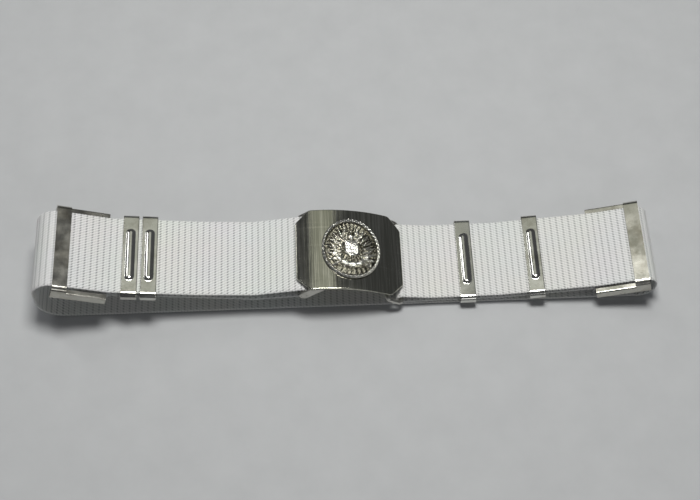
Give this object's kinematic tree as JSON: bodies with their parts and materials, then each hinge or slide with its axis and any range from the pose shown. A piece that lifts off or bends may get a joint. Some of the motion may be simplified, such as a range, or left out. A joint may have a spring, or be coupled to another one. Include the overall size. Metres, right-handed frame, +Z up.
{
  "type": "ceremonial web belt",
  "caption": "White ribbed web belt fastened in a loop and lying flat, with an eight-sided plate buckle, an oval medallion, sliding keepers and end adjusters.",
  "frame": {"origin": "middle of the footprint, on the face that the belt lies on", "axes": "+X along the flattened belt to the catch side, +Y across the webbing, +Z up"},
  "size_m": [0.4132, 0.066, 0.0457],
  "materials": {
    "webbing": "white ribbed nylon webbing",
    "adjuster_nickel": "nickel plated brass, polished, tarnished in the corners",
    "keeper_nickel": "nickel plated brass sheet, polished",
    "plate_chrome": "mirror polished nickel plate with fine hairline scratches",
    "medallion_nickel": "struck relief, bright on the high points and dark in the recesses",
    "hardware_steel": "plated steel"
  },
  "bodies": {
    "belt": {"webbing_back": "webbing", "webbing_left_fold": "webbing", "webbing_left_front": "webbing", "webbing_left_loop": "webbing", "webbing_left_return": "webbing", "webbing_right_fold": "webbing", "webbing_right_front": "webbing", "webbing_right_loop": "webbing", "webbing_right_return": "webbing", "adjuster_left_frame": "adjuster_nickel", "adjuster_left_pin": "adjuster_nickel", "adjuster_right_frame": "adjuster_nickel", "adjuster_right_pin": "adjuster_nickel"},
    "buckle": {"buckle_plate": "plate_chrome", "medallion": "medallion_nickel", "medallion_studs": "hardware_steel", "hinge_bar": "hardware_steel", "hinge_ears": "hardware_steel", "hook": "hardware_steel", "hook_rivets": "hardware_steel"},
    "catch_ring": {"catch_loop": "hardware_steel"},
    "keeper_1": {"keeper_left_outer": "keeper_nickel"},
    "keeper_2": {"keeper_left_inner": "keeper_nickel"},
    "keeper_3": {"keeper_right_inner": "keeper_nickel"},
    "keeper_4": {"keeper_right_outer": "keeper_nickel"}
  },
  "joints": [
    {"name": "buckle_hinge", "type": "hinge", "parent": "belt", "child": "buckle", "pos_m": [-0.02904, 0, 0.02081], "axis": [0, -1, 0], "range_deg": [0, 22]},
    {"name": "catch_ring_swing", "type": "hinge", "parent": "belt", "child": "catch_ring", "pos_m": [0.0355, 0, 0.0067], "axis": [0, -1, 0], "range_deg": [0, 40]},
    {"name": "keeper_1_slide", "type": "slide", "parent": "belt", "child": "keeper_1", "axis": [0.9907, 0, -0.1361], "range_m": [-0.006, 0.0008]},
    {"name": "keeper_2_slide", "type": "slide", "parent": "belt", "child": "keeper_2", "axis": [0.9907, 0, -0.1361], "range_m": [-0.0008, 0.025]},
    {"name": "keeper_3_slide", "type": "slide", "parent": "belt", "child": "keeper_3", "axis": [0.9999, 0, 0.0152], "range_m": [-0.016, 0.013]},
    {"name": "keeper_4_slide", "type": "slide", "parent": "belt", "child": "keeper_4", "axis": [0.9928, 0, 0.1197], "range_m": [-0.016, 0.024]}
  ]
}
